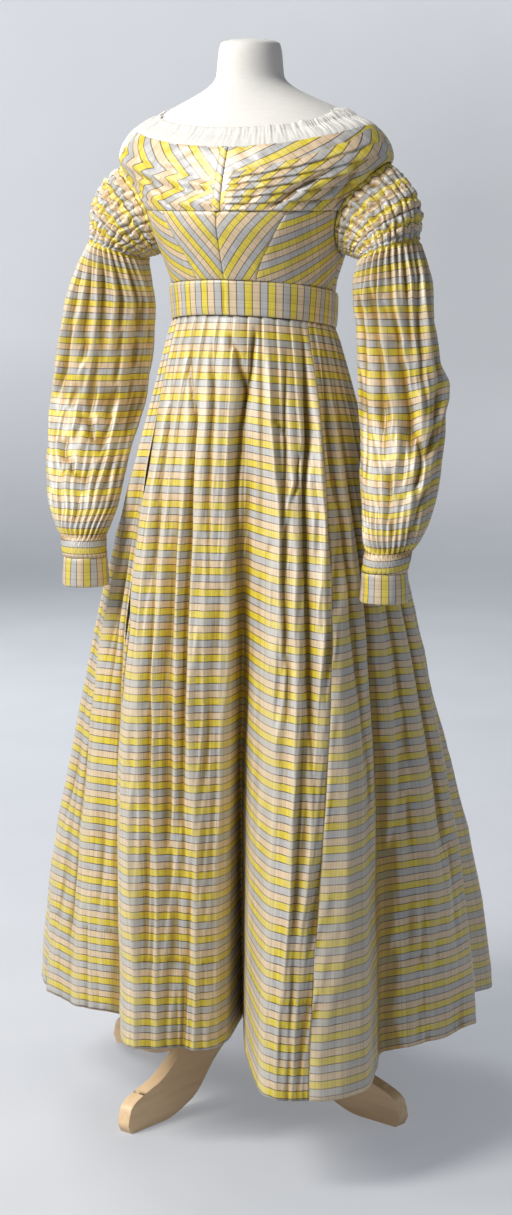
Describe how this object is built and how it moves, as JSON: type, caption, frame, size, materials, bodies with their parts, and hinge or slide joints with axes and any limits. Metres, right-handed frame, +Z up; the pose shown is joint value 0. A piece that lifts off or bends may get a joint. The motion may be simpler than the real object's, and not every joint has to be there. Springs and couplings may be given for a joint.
{
  "type": "day dress on a dress form",
  "caption": "Long-sleeved striped silk day dress with a wide neck, smocked sleeve heads, belt and full pleated skirt, on a limbless dress form with a wooden stand.",
  "frame": {"origin": "on the floor, under the middle of the whole outline", "axes": "+Z up; the dress's front faces -Y; the wearer's left side is +X"},
  "size_m": [0.637, 0.7318, 1.446],
  "materials": {
    "silk_stripe": "soft silk sheen, level yellow, pink-cream and grey stripes",
    "silk_upright": "soft silk sheen, upright stripes",
    "net_frill": "matt fine cotton net",
    "form_cover": "matt stretched cotton",
    "beech": "satin clear lacquer"
  },
  "bodies": {
    "root": {"bodice_centre_left": "silk_stripe", "bodice_centre_right": "silk_stripe", "bodice_side_left": "silk_stripe", "bodice_side_right": "silk_stripe", "bodice_drape_left": "silk_stripe", "bodice_drape_right": "silk_stripe", "bodice_back_left": "silk_stripe", "bodice_back_right": "silk_stripe", "bodice_band": "silk_stripe", "skirt_front": "silk_stripe", "skirt_side_left": "silk_stripe", "skirt_back_left": "silk_stripe", "skirt_back_right": "silk_stripe", "skirt_side_right": "silk_stripe", "sleeve_left": "silk_stripe", "sleeve_right": "silk_stripe", "belt": "silk_upright", "cuff_left": "silk_upright", "cuff_right": "silk_upright", "tucker": "net_frill", "dress_form": "form_cover", "pole": "beech", "hub": "beech", "leg_1": "beech", "leg_2": "beech", "leg_3": "beech", "leg_4": "beech"}
  },
  "joints": []
}
